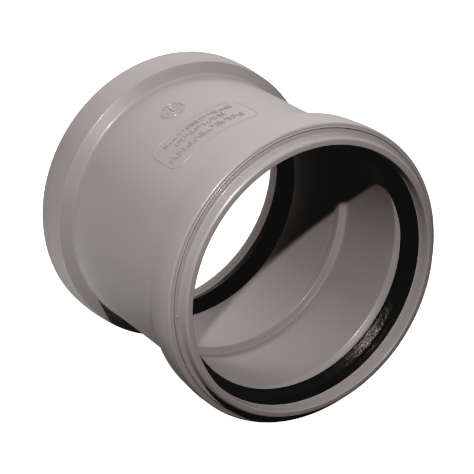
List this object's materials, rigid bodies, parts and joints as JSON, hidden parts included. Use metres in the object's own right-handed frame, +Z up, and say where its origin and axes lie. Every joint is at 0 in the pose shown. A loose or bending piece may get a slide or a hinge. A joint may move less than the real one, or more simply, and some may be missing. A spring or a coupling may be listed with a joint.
{
  "type": "push-fit pipe coupling",
  "caption": "Straight double-socket drain pipe coupling with a ring-seal housing at each mouth and a stop rib inside.",
  "frame": {"origin": "middle of the coupling, on its axis", "axes": "+X along the pipe axis out of socket A, +Z up with the coupling lying on its side"},
  "size_m": [0.1192, 0.1284, 0.1284],
  "materials": {
    "body_plastic": "satin moulded",
    "cap_plastic": "satin moulded",
    "seal_rubber": "smooth, slightly glossy"
  },
  "bodies": {
    "root": {"coupling_body": "body_plastic", "retaining_cap_a": "cap_plastic", "retaining_cap_b": "cap_plastic", "lip_seal_a": "seal_rubber", "lip_seal_b": "seal_rubber"}
  },
  "joints": []
}
